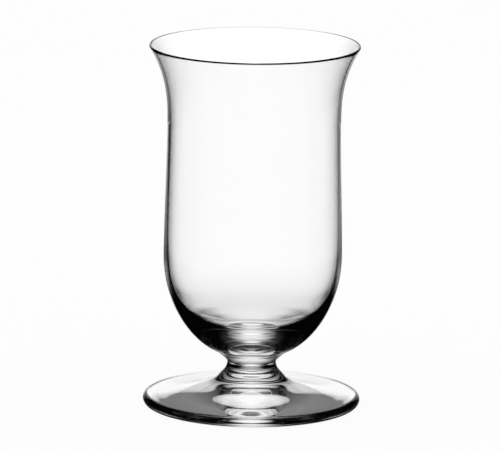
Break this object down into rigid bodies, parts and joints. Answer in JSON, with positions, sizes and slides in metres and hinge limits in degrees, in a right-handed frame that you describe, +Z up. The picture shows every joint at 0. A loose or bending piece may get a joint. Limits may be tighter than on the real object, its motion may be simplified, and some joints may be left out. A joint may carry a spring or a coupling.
{
  "type": "whisky nosing glass",
  "caption": "Clear stemmed nosing glass: a tall round-bottomed bowl with a flared lip, fused to a short waisted stem and a round foot.",
  "frame": {"origin": "on the glass's axis, in the plane of the table that the foot stands on", "axes": "+Z up along the axis of revolution, through foot, stem and bowl; X and Y are alike, as the glass is round"},
  "size_m": [0.0684, 0.0684, 0.115],
  "materials": {
    "crystal": "clear, fire-polished"
  },
  "bodies": {
    "root": {"bowl": "crystal", "stem": "crystal", "foot": "crystal"}
  },
  "joints": []
}
